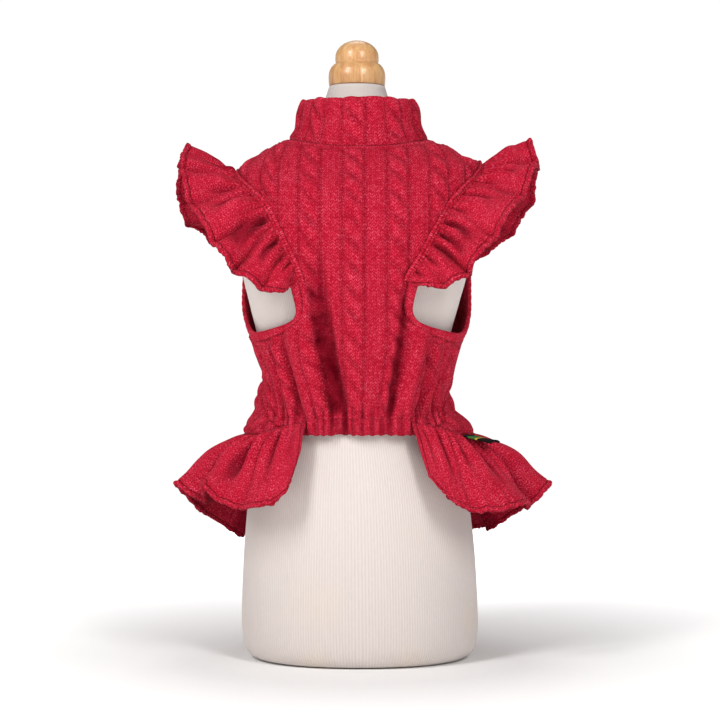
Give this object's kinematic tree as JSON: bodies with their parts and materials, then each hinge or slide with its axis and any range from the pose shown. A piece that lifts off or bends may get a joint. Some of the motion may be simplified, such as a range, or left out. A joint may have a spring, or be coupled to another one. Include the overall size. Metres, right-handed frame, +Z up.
{
  "type": "knit dog dress on a dress form",
  "caption": "Cable-knit dog dress with a folded collar, ruffled sleeves and a gathered skirt ruffle, worn by an upright limbless dress form with a turned finial.",
  "frame": {"origin": "centre of the dress form's flat underside, which the part stands on", "axes": "+Z up along the form, -Y the belly side of the dress, +Y its back, +X the viewer's right when facing the belly"},
  "size_m": [0.2701, 0.1985, 0.4306],
  "materials": {
    "form_jersey": "off-white rib jersey stretched over the form",
    "finial_wood": "turned and lacquered",
    "dress_knit": "heathered crimson cable knit, brushed",
    "woven_label": "woven, plain stripes"
  },
  "bodies": {
    "root": {"form_torso": "form_jersey", "form_finial": "finial_wood", "belly_panel": "dress_knit", "back_panel": "dress_knit", "belly_hem": "dress_knit", "collar": "dress_knit", "sleeve_ruffle_left": "dress_knit", "sleeve_ruffle_right": "dress_knit", "armhole_band_left": "dress_knit", "armhole_band_right": "dress_knit", "skirt_ruffle": "dress_knit", "label": "woven_label"}
  },
  "joints": []
}
